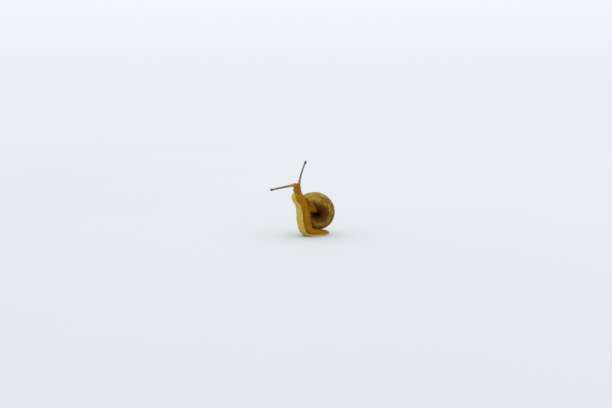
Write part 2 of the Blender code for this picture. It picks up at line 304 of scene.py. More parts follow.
def fill_mesh(mesh, points, quads, triangles):
    """Writes points, four-sided and three-sided faces into a mesh."""
    sizes = np.concatenate([np.full(len(quads), 4), np.full(len(triangles), 3)]).astype(np.int32)
    corners = np.concatenate([np.ravel(quads), np.ravel(triangles)]).astype(np.int32)
    mesh.vertices.add(len(points))
    mesh.vertices.foreach_set("co", np.ravel(points).astype(np.float32))
    mesh.loops.add(len(corners))
    mesh.loops.foreach_set("vertex_index", corners)
    mesh.polygons.add(len(sizes))
    mesh.polygons.foreach_set("loop_start", (np.cumsum(sizes) - sizes).astype(np.int32))
    mesh.polygons.foreach_set("loop_total", sizes)
    mesh.update(calc_edges=True)
    mesh.validate()


def new_object(name, data):
    """An object that is linked to the scene."""
    item = bpy.data.objects.new(name, data)
    bpy.context.scene.collection.objects.link(item)
    return item


def new_piece(name, mesh, material, nodes):
    """An object of this mesh that rides on the body and stands for the solids it replaces."""
    mesh.polygons.foreach_set("use_smooth", np.ones(len(mesh.polygons), bool))
    mesh.materials.clear()
    mesh.materials.append(material)
    piece = new_object(name, mesh)
    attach(piece, "root")
    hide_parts(*nodes)
    return piece


def add_number(mesh, name, values):
    """A number on every vertex, for the materials."""
    mesh.attributes.new(name, "FLOAT", "POINT").data.foreach_set("value", values.astype(np.float32))


def scattered(cells):
    """Three numbers from 0 to 1 for each whole-number cell: the part after the point of a large multiple
    of the sine of its mixed coordinates."""
    mixed = cells @ np.array([[127.1, 269.5, 113.5], [311.7, 183.3, 271.9], [74.7, 246.1, 124.6]])
    return np.modf(np.abs(np.sin(mixed) * 43758.5453))[0]


def pebbles(points):
    """Cells round scattered seeds, one seed in each unit cube: 0 on the borders, where the two nearest
    seeds are equally far, rising to 1 inside. Also gives a number for each cell."""
    base = np.floor(points)
    nearest = np.full(len(points), 9.0)
    second = np.full(len(points), 9.0)
    tone = np.zeros(len(points))
    for shift in np.ndindex(3, 3, 3):
        cells = base + np.array(shift) - 1
        seed = scattered(cells)
        gap = np.linalg.norm(cells + seed - points, axis=1)
        closer = gap < nearest
        second = np.where(closer, nearest, np.minimum(second, gap))
        tone = np.where(closer, seed[:, 0], tone)
        nearest = np.where(closer, gap, nearest)
    return smoothstep(0.0, 0.42, second - nearest), tone


def ripples(points, seed):
    """Slow smooth variation from -1 to 1: the sum of waves in fixed scattered directions."""
    total = 0
    for index in range(5):
        turn = scattered(np.array([[seed, index, 3.0]]))[0] * 2 - 1
        total = total + np.sin(points @ (turn * (1 + 0.45 * index)) + 6.3 * turn[0])
    return total / 3


# -------- shell shape


def shell_frame():
    """The shell's own directions: the way the tube grows at the lip, the lip's own, and the apex's."""
    level = math.cos(SPIRE_LIFT)
    apex = np.array((-level * math.cos(SPIRE_BACK), level * math.sin(SPIRE_BACK), math.sin(SPIRE_LIFT)))
    lip = np.array((0, -math.cos(LIP_RISE), math.sin(LIP_RISE)))
    lip = unit(lip - apex * (apex @ lip))
    return np.cross(lip, apex), lip, apex


def shell_points(turn, around, inset=0.0):
    """Points of the coiled tube: a circle whose size and distance from the axis grow as a power of the turn,
    which is 0 at the lip, while it slides down the axis and leans forwards. Around is the angle in the
    circle, 0 at the rounded side and a quarter turn at the apex's side."""
    grow, lip, apex = shell_frame()
    scale = LIP_REACH * WHORL_GROWTH**turn
    tube = TUBE_RADIUS_SHARE * scale
    across = scale - tube + (tube - inset) * np.cos(around)
    rise = (tube - inset) * np.sin(around)
    from_core = rise + (CORE_DEPTH_SHARE - TUBE_DROP_SHARE) * scale
    swing = 2 * math.pi * turn + LIP_SLANT * from_core / np.hypot(across, from_core)
    along = TUBE_DROP_SHARE * (LIP_REACH - scale) + rise
    parts = np.broadcast_arrays(across * np.cos(swing), across * np.sin(swing), along)
    return SHELL_AXIS_POINT + np.stack(parts, -1) @ np.stack([lip, grow, apex])


def growth_ridges(turns, ridge):
    """Height of the growth ridges: a sum of waves of the turn, each crowded and spread by a slower wave."""
    growth = sum(
        height * np.sin(2 * math.pi * often * turns + crowding * np.sin(2 * math.pi * slow * turns + start))
        for height, often, crowding, slow, start in RIDGE_WAVES
    )
    return growth * (WHORL_GROWTH**turns * smoothstep(*RIDGE_FADE, turns) * ridge)


def add_coil_map(mesh, turns, sides):
    """A map for the material: across is the turn, from 0 at the apex, and up is the share of the way round
    the section. Faces across the seam go on past 1, so that it doesn't show."""
    count = len(turns)
    corner = np.empty(len(mesh.loops), np.int32)
    mesh.loops.foreach_get("vertex_index", corner)
    row = np.where(corner < count * sides + 2, np.minimum(corner // sides, count - 1), 0)
    column = corner % sides
    start = np.empty(len(mesh.polygons), np.int32)
    total = np.empty(len(mesh.polygons), np.int32)
    mesh.polygons.foreach_get("loop_start", start)
    mesh.polygons.foreach_get("loop_total", total)
    face = np.repeat(np.arange(len(start)), total)
    wrapped = np.maximum.reduceat(column, start) - np.minimum.reduceat(column, start) > sides // 2
    column = np.where(wrapped[face] & (column < sides // 2), column + sides, column)
    layer = mesh.uv_layers.new(name="coil")
    places = np.stack([turns[row] + WHORLS, column / sides], -1)
    layer.data.foreach_set("uv", places.ravel().astype(np.float32))


def shell_mesh(settings):
    """The closed apex with its bead, the outer wall, the lip's rounded edge and part of the inner wall."""
    around = circle_angles(SHELL_SIDES, -math.pi)
    same = 0 * around[None]
    wall = settings.wall / MM
    turns = -WHORLS * (1 - (1 - np.linspace(1, 0, SHELL_ROWS) ** 1.25))
    first_reach = LIP_REACH * WHORL_GROWTH ** turns[0]
    cap = np.sqrt(1 - np.linspace(0.98, 0.0, 9) ** 2)
    cap_turns = turns[0] - 0.03 * (1 - cap)
    cap_inset = (1 - cap)[:, None] * TUBE_RADIUS_SHARE * first_reach
    unevenness = 1 + 0.3 * np.sin(3 * around[None] + 9 * turns[:, None])
    outer_inset = -growth_ridges(turns, settings.ridge / MM)[:, None] * unevenness
    edge_inset = wall * np.array(LIP_EDGE_DEPTHS)[:, None]
    inner_turns = np.linspace(0, -INNER_WALL_TURNS, 26)
    inner_inset = np.full((len(inner_turns), 1), wall)
    all_turns = np.concatenate([cap_turns, turns, LIP_EDGE_TURNS, inner_turns])
    inset = np.concatenate([cap_inset + same, outer_inset, edge_inset + same, inner_inset + same])
    rings = shell_points(all_turns[:, None], around[None], inset)
    count, sides = rings.shape[:2]
    heart = SHELL_AXIS_POINT + shell_frame()[2] * (TUBE_DROP_SHARE * (LIP_REACH - first_reach) + 0.03)
    points, quads, triangles = joined_solids([rings, lump(heart, (NUCLEUS_RADIUS,) * 3)[::-1]])
    mesh = bpy.data.meshes.new("coiled_shell")
    fill_mesh(mesh, points * MM, quads[:, ::-1], triangles[:, ::-1])
    add_coil_map(mesh, all_turns, sides)
    inside = np.zeros(len(points))
    inside[(count - len(inner_turns)) * sides : count * sides] = 1
    add_number(mesh, "inside", inside)
    return mesh


# -------- flesh shape


def body_line(places):
    """The body's middle line at places counted in stations: points, the way forwards, the way to the
    back, half widths and half heights. The tail is swayed aside by the square of its share of the run."""
    values = catmull_rom(BODY_STATIONS, places)
    step = 0.01
    ahead = catmull_rom(BODY_STATIONS, places + step)[:, :2]
    behind = catmull_rom(BODY_STATIONS, places - step)[:, :2]
    along, rise = unit(ahead - behind).T
    forwards = np.stack([0 * places, along, rise], -1)
    back = np.stack([0 * places, rise, -along], -1)
    sway = TAIL_SWAY * np.clip(values[:, 0] / TAIL_SWAY_RUN, 0, 1) ** 2
    middle = np.stack([sway, values[:, 0], values[:, 1]], -1)
    return middle, forwards, back, values[:, 2], values[:, 3]


def rounded(cosine, power):
    """A cosine or sine raised to a power with its sign kept, which squares a circle's section."""
    return np.sign(cosine) * np.abs(cosine) ** power


def circle_parts():
    """Cosines and sines round a section of the body, as one row each."""
    turn = circle_angles(FLESH_SIDES)
    return np.cos(turn)[None], np.sin(turn)[None]


def sections(middle, back, across, high):
    """Rings round the middle line, square to it."""
    rings = middle[:, None] + high[..., None] * back[:, None]
    rings[..., 0] += across
    return rings


def back_rings():
    """Rings of the tail, back, neck and head: round above, a little flatter below, closed by a dome at
    the crown."""
    rise = np.linspace(0.2, 0.99, DOME_ROWS)
    places = np.concatenate([np.linspace(0.1, CROWN, BODY_ROWS), np.full(DOME_ROWS, float(CROWN))])
    dome = np.concatenate([np.ones(BODY_ROWS), np.sqrt(1 - rise**2)])
    lift = np.concatenate([np.zeros(BODY_ROWS), CROWN_LIFT * rise])
    middle, forwards, back, width, height = body_line(places)
    cosine, sine = circle_parts()
    headed = smoothstep(NECK_END - 0.7, NECK_END + 0.3, places)[:, None]
    deep = np.where(sine < 0, 0.80 + 0.18 * headed, 1.0)
    across = rounded(cosine, 0.92) * (width * dome * (0.94 + 0.04 * headed[:, 0]))[:, None]
    high = rounded(sine, 0.95) * (height * dome)[:, None] * deep
    return sections(middle + forwards * lift[:, None], back, across, high)


def sole_slimness(places):
    """The sole's width as a share of the body's: a little more, but slimmer below the neck."""
    return 1.11 - 0.14 * smoothstep(7.6, 8.9, places)


def sole_end_share(places):
    """0 along the sole, growing to 1 at its front end: the sole's outline there is half an ellipse."""
    return np.maximum(places - (SOLE_END - SOLE_END_RUN), 0) / SOLE_END_RUN


def sole_rings():
    """Rings of the sole: a thin slab with rounded, slightly wavy edges, as wide as the body and a little
    more, with a rounded front end below the mouth."""
    places = np.linspace(0.0, SOLE_END, SOLE_ROWS)
    start = np.clip(1 - places / 0.8, 0, 1)
    end = sole_end_share(places)
    taper = np.sqrt(np.clip(1 - end**2.4, 0.01, 1)) * np.sqrt(np.clip(1 - 0.75 * start**2, 0.05, 1))
    middle, _, back, width, height = body_line(places)
    cosine, sine = circle_parts()
    edge = 0.05 * np.sin(places * 7.3) + 0.035 * np.sin(places * 12.9 + 1)
    half_width = (width * sole_slimness(places) + edge * smoothstep(0.3, 1.5, places)) * taper
    across = rounded(cosine, 0.55) * half_width[:, None]
    slab = np.minimum(0.30 * height, SOLE_HALF_THICKNESS)
    low = -height + slab - 0.12 * smoothstep(8.8, 9.4, places) * taper
    crown = 0.06 * height[:, None] * (cosine**2) * (sine < 0)
    high = low[:, None] + rounded(sine, 0.75) * slab[:, None] * (0.35 + 0.65 * taper)[:, None] + crown
    rings = sections(middle, back, across, high)
    rings[..., 2] = np.maximum(rings[..., 2], 0)
    return rings


def stalk_rings():
    """Rings of the flesh in the shell's mouth, of the mantle's thick rolled edge that follows the lip,
    and of the flesh that narrows into the body."""
    around = circle_angles(FLESH_SIDES, -math.pi)
    rings = [
        shell_points(np.full(FLESH_SIDES, turn), around, MOUTH_WALL + extra) for turn, extra in MOUTH_FLESH
    ]
    lip = shell_points(np.zeros(FLESH_SIDES), around, MOUTH_WALL)
    middle = lip.mean(0)
    facing = unit(np.cross(lip[FLESH_SIDES // 4] - lip[0], lip[FLESH_SIDES // 2] - lip[0]))
    run = STALK_END - middle
    facing = facing * np.sign(facing @ run)
    outward = lip - middle
    for depth, share in MANTLE_ROLL:
        rings.append(middle + facing * depth + outward * share)
    circle = unit(outward - facing * (outward @ facing)[:, None])
    for share in np.linspace(0.22, 1.0, 9):
        spread = 0.80 * (1 - share) ** 1.3
        blend = smoothstep(0.1, 0.9, share)
        ring = middle + run * share + facing * 0.55 * (1 - share) + outward * spread * (1 - blend)
        rings.append(ring + circle * (STALK_END_RADIUS + 1.0 * (1 - share)) * blend)
    return np.array(rings)


def feeler_path(root, direction, length, bow, share):
    """Points along a feeler, straight but for a bow of half a sine wave."""
    direction = unit(np.array(direction))
    side = unit(np.cross(direction, (1.0, 0.2, 0.0)))
    bowed = side * (bow * np.sin(math.pi * share))[:, None]
    return np.array(root) + direction * (length * share)[:, None] + bowed


def upper_path(index, share):
    """Points along a long feeler."""
    return feeler_path(
        UPPER_ROOTS[index], UPPER_DIRECTIONS[index], UPPER_LENGTHS[index], UPPER_BOWS[index], share
    )


def lower_path(index, share):
    """Points along a lower feeler."""
    return feeler_path(LOWER_ROOTS[index], LOWER_DIRECTIONS[index], LOWER_LENGTH, 0.0, share)


def closing(share, least):
    """Half an ellipse: 1 at a share of 0, falling to the root of the least at 1."""
    return np.sqrt(np.clip(1 - np.clip(share, 0, 1) ** 2, least, 1))


def upper_radius(index, share):
    """A flared root, an evenly tapering shaft and a bulb; both ends are closed by half an ellipse."""
    root_radius, shaft_radius, tip_radius = np.array(UPPER_RADII[index]) * (ROOT_FULLNESS, 1, 1)
    flare = np.clip(1 - share / FEELER_FLARE_SHARE, 0, 1) ** 1.1
    shaft = shaft_radius + (tip_radius - shaft_radius) * share + (root_radius - shaft_radius) * flare
    swell = smoothstep(0.90, 0.985, share) * (BULB_RADIUS - tip_radius)
    return (shaft + swell) * closing(1 - share / 0.06, 0.05) * closing((share - 1.0) / 0.04, 0.0005)


def lower_radius(share):
    """A short shaft with a domed, swollen end."""
    return LOWER_RADIUS * (1.08 + 0.12 * smoothstep(0.4, 0.8, share)) * closing((share - 0.8) / 0.2, 0.002)


def tube_rings(path, radius, sides=28):
    """Circles of these radii, square to a path."""
    along = unit(np.gradient(path, axis=0))
    first, second = square_axes(along)
    turn = circle_angles(sides)[None, :, None]
    ring = np.cos(turn) * first[:, None] + np.sin(turn) * second[:, None]
    return path[:, None] + radius[:, None, None] * ring


def lump(centre, radii):
    """Rings of an ellipsoid along Z."""
    polar = np.linspace(0.08, math.pi - 0.08, 18)[:, None]
    turn = circle_angles(28)[None]
    level = np.sin(polar)
    ball = np.stack([level * np.cos(turn), level * np.sin(turn), np.cos(polar) + 0 * turn], -1)
    return np.array(centre) + ball * np.array(radii)


def flesh_shapes():
    """All the overlapping closed shapes that the skin is drawn over."""
    shapes = [back_rings(), sole_rings(), stalk_rings()]
    for index, side in enumerate((1, -1)):
        share = np.linspace(0.0, UPPER_END, UPPER_ROWS)
        shapes.append(tube_rings(upper_path(index, share), upper_radius(index, share)))
        share = np.linspace(0.0, 1.0, LOWER_ROWS)
        shapes.append(tube_rings(lower_path(index, share), lower_radius(share)))
        shapes += [lump(np.array(place) * (side, 1, 1), radii) for place, radii in PAIRED_LUMPS]
    return shapes + [lump(*FOREHEAD_LUMP), lump(*CROWN_LUMP)]


def united_skin(settings):
    """One closed skin over all the flesh, made on a grid of small cubes and then smoothed."""
    mesh = bpy.data.meshes.new("flesh_shapes")
    fill_mesh(mesh, *joined_solids(flesh_shapes()))
    draft = new_object("flesh_shapes", mesh)
    grid = draft.modifiers.new("Grid", "REMESH")
    grid.mode = "VOXEL"
    grid.voxel_size = settings.voxel / MM
    calm = draft.modifiers.new("Calm", "SMOOTH")
    calm.factor = 0.5
    calm.iterations = 7
    graph = bpy.context.evaluated_depsgraph_get()
    skin = bpy.data.meshes.new_from_object(draft.evaluated_get(graph))
    bpy.data.objects.remove(draft)
    bpy.data.meshes.remove(mesh)
    skin.name = "living_skin"
    return skin


def nearest_on(points, line):
    """For each point, the number of the nearest sample of a line and its distance."""
    chosen = np.empty(len(points), int)
    gap = np.empty(len(points))
    for part in np.array_split(np.arange(len(points)), max(1, len(points) // 8000)):
        apart = np.linalg.norm(points[part, None] - line[None], axis=2)
        chosen[part] = apart.argmin(1)
        gap[part] = apart.min(1)
    return chosen, gap


def feeler_shares(points):
    """How far along an upper feeler each vertex lies, from 0 at the root to 1 at the tip, and how near
    a lower one's tip."""
    upper = np.zeros(len(points))
    lower = np.zeros(len(points))
    for index in range(2):
        share = np.linspace(0, UPPER_END, 90)
        chosen, gap = nearest_on(points, upper_path(index, share))
        on = smoothstep(0.30, 0.08, gap - upper_radius(index, np.clip(share, 0.06, 1.0))[chosen])
        height = 0.06 + 0.94 * share[chosen] / UPPER_END
        upper = np.maximum(upper, on * height * smoothstep(0.03, 0.12, share[chosen]))
        share = np.linspace(0, 1, 20)
        chosen, gap = nearest_on(points, lower_path(index, share))
        on = smoothstep(0.22, 0.06, gap - lower_radius(np.minimum(share, 0.8))[chosen])
        lower = np.maximum(lower, on * smoothstep(0.35, 0.7, share[chosen]))
    return upper, lower


def vertex_vectors(collection, name):
    """Three numbers for each vertex, read as one array."""
    values = np.empty(len(collection) * 3, np.float32)
    collection.foreach_get(name, values)
    return values.reshape(-1, 3).astype(float)


def face_marks(points, outward, place):
    """How deep each vertex lies in the mouth, in its part between the lips, and in the breathing hole. The
    mouth is a slit with a groove over the sole's front end; each mark falls off as a bell curve."""
    slit = np.exp(-((points[:, 0] / SLIT_WIDTH) ** 2) - ((points[:, 2] - SLIT_HEIGHT) / SLIT_REACH) ** 2)
    fronted = smoothstep(SOLE_END - 0.75, SOLE_END - 0.3, place)
    groove = np.exp(-(((outward - 1.06) / 0.055) ** 2)) * fronted
    faced = smoothstep(-9.7, -10.2, points[:, 1])
    aside = np.abs(points[:, 0])
    mouth = np.maximum(slit, groove * smoothstep(1.5, 0.7, aside)) * faced
    hole = shell_points(np.array([PORE_TURN]), np.array([PORE_ANGLE]), PORE_INSET)[0]
    pit = np.exp(-np.sum((points - hole) ** 2, axis=1) / PORE_RADIUS**2)
    return mouth, mouth * smoothstep(0.75, 0.15, aside), pit


def skin_mesh(settings):
    """The skin with its relief: tubercles in long rows on the back and flanks, small ones on the head,
    fine ones on the feelers, upright folds on the sole's rim, and a smooth sole."""
    mesh = united_skin(settings)
    points = vertex_vectors(mesh.vertices, "co")
    normals = vertex_vectors(mesh.vertex_normals, "vector")

    places = np.linspace(0, CROWN, 500)
    middle, _, back, width, height = body_line(places)
    chosen, _ = nearest_on(points[:, 1:], middle[:, 1:])
    arc = np.concatenate([[0], np.cumsum(np.linalg.norm(np.diff(middle, axis=0), axis=1))])[chosen]
    offset = points - middle[chosen]
    upward = np.einsum("ij,ij->i", offset, back[chosen])
    across = offset[:, 0]
    place = places[chosen]
    level = upward / height[chosen]
    sideways = np.abs(across) / width[chosen]
    underneath = -np.einsum("ij,ij->i", normals, back[chosen])
    upper, lower = feeler_shares(points)
    feelers = np.clip(np.maximum(upper * 6, lower), 0, 1)

    turn = arc * 2 * math.pi
    wave_share = 0.5 + 0.5 * np.sin(turn / SOLE_WAVE_LENGTH + 0.6 * ripples(points * 0.7, 9.0))
    outward = np.hypot(across / (width[chosen] * sole_slimness(place)), sole_end_share(place))
    within = smoothstep(1.03, 0.95, outward)
    sole = smoothstep(0.35, 0.8, underneath) * smoothstep(-0.55, -0.75, level) * within
    below_head = smoothstep(NECK_END + 0.05, NECK_END - 0.25, place)
    rim = smoothstep(-0.38, -0.52, level) * (1 - sole) * below_head * smoothstep(0.72, 0.9, sideways)
    off_body = smoothstep(1.05, 1.25, np.hypot(sideways, level))

    grain = settings.grain / MM
    headed = smoothstep(NECK_END - 0.8, NECK_END + 0.8, place)
    wander = 0.35 * ripples(points * 1.1, 4.0)
    rows = np.stack([arc / (grain * 1.35), across / grain, upward / grain], -1) + wander[:, None]
    large, tone = pebbles(rows)
    small, small_tone = pebbles(points / (grain * 0.72))
    fine, _ = pebbles(points / (grain * 0.48))
    mix = np.maximum(headed, off_body)
    bumps = large * (1 - mix) + small * mix
    bumps = bumps * (1 - feelers) + fine * feelers
    tone = tone * (1 - mix) + small_tone * mix
    depth = settings.relief / MM * (1 - 0.35 * mix) * (1 - 0.72 * feelers)
    depth = depth * (1 - sole) * (1 - 0.55 * rim)
    crimp = np.sin(turn / RIM_FOLD_LENGTH + 2.4 * ripples(points * 0.9, 5.0))
    folds = rim * RIM_FOLD_HEIGHT * crimp * (0.55 + 0.45 * ripples(points * 1.6, 6.0))
    waves = sole * SOLE_WAVE_HEIGHT * (wave_share * 2 - 1)
    mouth, lips, pit = face_marks(points, outward, place)
    shift = (bumps - 0.55) * depth + folds + waves - MOUTH_DEPTH * mouth - PORE_DEPTH * pit
    points = points + normals * shift[:, None]
    points[:, 2] = np.where(points[:, 2] < FLOOR_CONTACT, 0.0, points[:, 2])
    mesh.vertices.foreach_set("co", (points * MM).ravel().astype(np.float32))
    mesh.update()

    centre = smoothstep(0.72, 0.5, sideways)
    numbers = {
        "sole": np.maximum(sole, rim * 0.85),
        "wave": sole * (0.25 + 0.75 * centre) * wave_share,
        "upper": upper,
        "lower": lower,
        "bumps": bumps * (1 - sole) + sole,
        "tone": tone,
        "level": np.clip(level * 0.5 + 0.5, 0, 1),
        "headed": headed,
        "mouth": np.maximum(0.25 * mouth + 0.6 * lips, pit),
    }
    for name, values in numbers.items():
        add_number(mesh, name, values)
    return mesh


# -------- materials


class Shading:
    """A small builder of node trees: each call adds a node and links or sets its inputs."""

    def __init__(self, name):
        self.material = bpy.data.materials.new(name)
        self.material.use_nodes = True
        self.tree = self.material.node_tree
        self.surface = self.tree.nodes["Principled BSDF"]

    def put(self, socket, value):
        if isinstance(value, bpy.types.NodeSocket):
            self.tree.links.new(value, socket)
        elif hasattr(value, "__len__") and len(value) == 3 and socket.type == "RGBA":
            socket.default_value = (*value, 1)
        else:
            socket.default_value = value

    def add(self, kind, inputs=(), **options):
        node = self.tree.nodes.new(kind)
        for name, value in options.items():
            setattr(node, name, value)
        for name, value in dict(inputs).items():
            self.put(node.inputs[name], value)
        return node

    def number(self, name):
        return self.add("ShaderNodeAttribute", attribute_name=name).outputs["Fac"]

    def place(self):
        return self.add("ShaderNodeTexCoord").outputs["Object"]

    def noise(self, vector, scale, detail=3.0, roughness=0.55):
        inputs = {"Vector": vector, "Scale": scale, "Detail": detail, "Roughness": roughness}
        return self.add("ShaderNodeTexNoise", inputs).outputs["Fac"]

    def ramp(self, value, low, high, to_low=0.0, to_high=1.0):
        """A smooth step between two values."""
        inputs = {"Value": value, "From Min": low, "From Max": high, "To Min": to_low, "To Max": to_high}
        return self.add("ShaderNodeMapRange", inputs, interpolation_type="SMOOTHSTEP").outputs["Result"]

    def math(self, operation, first, second):
        node = self.add("ShaderNodeMath", operation=operation)
        self.put(node.inputs[0], first)
        self.put(node.inputs[1], second)
        return node.outputs[0]

    def times(self, first, second):
        return self.math("MULTIPLY", first, second)

    def mix(self, share, first, second):
        """The first colour, with a share of the second over it."""
        node = self.add("ShaderNodeMix", data_type="RGBA")
        self.put(node.inputs["Factor"], share)
        self.put(node.inputs[6], first)
        self.put(node.inputs[7], second)
        return node.outputs[2]

    def over(self, base, *layers):
        """Colours laid over a base one after another, each with its share."""
        for share, tone in layers:
            base = self.mix(share, base, tone)
        return base

    def stops(self, value, colours):
        """Colours along a value, each a place and a colour."""
        node = self.add("ShaderNodeValToRGB", {"Fac": value})
        ramp = node.color_ramp
        while len(ramp.elements) < len(colours):
            ramp.elements.new(0.5)
        for element, (position, tone) in zip(ramp.elements, colours):
            element.position = position
            element.color = (*tone, 1)
        return node.outputs["Color"]

    def bump(self, height, distance, strength=1.0):
        inputs = {"Height": height, "Distance": distance, "Strength": strength}
        return self.add("ShaderNodeBump", inputs).outputs["Normal"]

    def finish(self, **inputs):
        """Sets or links the surface's inputs and gives the material."""
        for name, value in inputs.items():
            self.put(self.surface.inputs[name.replace("_", " ")], value)
        return self.material


def shade(tone, factor):
    """A colour made lighter or darker."""
    return tuple(min(1.0, channel * factor) for channel in tone)


def tint(tone, factors):
    """A colour whose channels are each made stronger or weaker."""
    return tuple(channel * factor for channel, factor in zip(tone, factors))


def moist_skin(settings):
    """Moist grainy flesh: amber head and nape, paler flanks, pale yellow sole with faint cross bands, and
    feelers that go from cream through taupe to a dark bulb. Furrows are darker than tubercles."""
    s = Shading("moist_skin")
    place = s.place()
    patches = s.noise(place, 900.0, 3.0)
    grain = s.noise(place, 9000.0, 2.0)
    flank = s.mix(s.ramp(patches, 0.35, 0.65), shade(settings.flank, 0.78), shade(settings.flank, 1.15))
    amber = s.mix(s.ramp(patches, 0.3, 0.7), shade(settings.head, 0.75), shade(settings.head, 1.25))
    sole = s.mix(s.ramp(patches, 0.35, 0.7), shade(settings.sole, 0.84), shade(settings.sole, 1.06))
    sole = s.mix(s.ramp(s.number("wave"), 0.0, 1.0, 0.0, 0.22), sole, shade(settings.flank, 1.3))
    specks = s.ramp(s.noise(place, 4200.0, 1.0), 0.60, 0.72, 0.0, 0.40)
    dots = s.ramp(s.noise(place, 7000.0, 2.0), 0.50, 0.66, 0.0, 0.45)
    upper = s.number("upper")
    flesh = s.over(
        s.mix(s.ramp(s.number("level"), 0.45, 0.9), flank, amber),
        (s.ramp(s.number("headed"), 0.2, 0.9), amber),
        # Some tubercles are lighter, and the furrows are dark.
        (s.ramp(s.number("tone"), 0.0, 1.0, 0.0, 0.30), shade(settings.flank, 1.5)),
        (s.ramp(s.number("bumps"), 0.0, 0.6, 0.55, 0.0), shade(settings.head, 0.33)),
        (s.number("sole"), sole),
        (s.times(specks, s.ramp(s.number("sole"), 0.0, 1.0, 1.0, 0.25)), shade(settings.head, 0.4)),
        # The long feelers from root to bulb with their dots, the lower ones, and the mouth.
        (s.ramp(upper, 0.03, 0.15), settings.root),
        (s.ramp(upper, 0.14, 0.42), settings.shaft),
        (s.ramp(upper, 0.88, 0.95), settings.bulb),
        (s.times(dots, s.ramp(upper, 0.06, 0.3)), shade(settings.shaft, 0.5)),
        (s.ramp(s.number("lower"), 0.1, 0.8, 0.0, 0.6), shade(settings.root, 0.75)),
        (s.ramp(s.number("mouth"), 0.0, 0.7), settings.mouth),
    )
    s.surface.subsurface_method = "RANDOM_WALK"
    return s.finish(
        Base_Color=flesh,
        Roughness=s.ramp(grain, 0.3, 0.7, 0.38, 0.56),
        Normal=s.bump(grain, 0.012 * MM, 0.6),
        Specular_IOR_Level=0.07,
        Subsurface_Weight=0.22,
        Subsurface_Radius=(1.0, 0.5, 0.2),
        Subsurface_Scale=0.7 * MM,
        Coat_Weight=0.01,
        Coat_Roughness=0.2,
    )


# Spiral bands from the navel over the rounded side to the suture: place on the map, colour and strength. The
# near-black stop round the navel is partly the dark body seen through the horn and partly painted shade of
# the shell's underside.
SPIRAL_BANDS_AND_NAVEL_SHADE = (
    # Near-black round the navel: partly the body seen through the horn, partly painted shade of the
    # underside.
    (0.135, "dark", 1.0),
    (0.195, "band", 0.55),
    (0.250, "band", 1.15),
    (0.285, "horn", 0.85),
    (0.315, "light", 1.0),
    (0.345, "horn", 1.0),
    (0.385, "horn", 1.05),
    (0.410, "band", 1.0),
    (0.435, "horn", 0.95),
    (0.470, "horn", 1.0),
    (0.500, "olive", 1.0),
    (0.560, "olive", 1.0),
    (0.595, "horn", 1.0),
    (0.655, "band", 1.2),
    (0.690, "light", 1.0),
    (0.755, "light", 0.9),
    (0.790, "band", 1.3),
    (0.840, "horn", 1.0),
    (1.00, "band", 0.6),
)
# Olive beside the mean of horn and band, and the painted highlight on the newest horn's crest beside light
# horn.
OLIVE_TINT = (0.80, 0.95, 1.05)
CREST_HIGHLIGHT_TINT = (1.15, 1.30, 2.6)


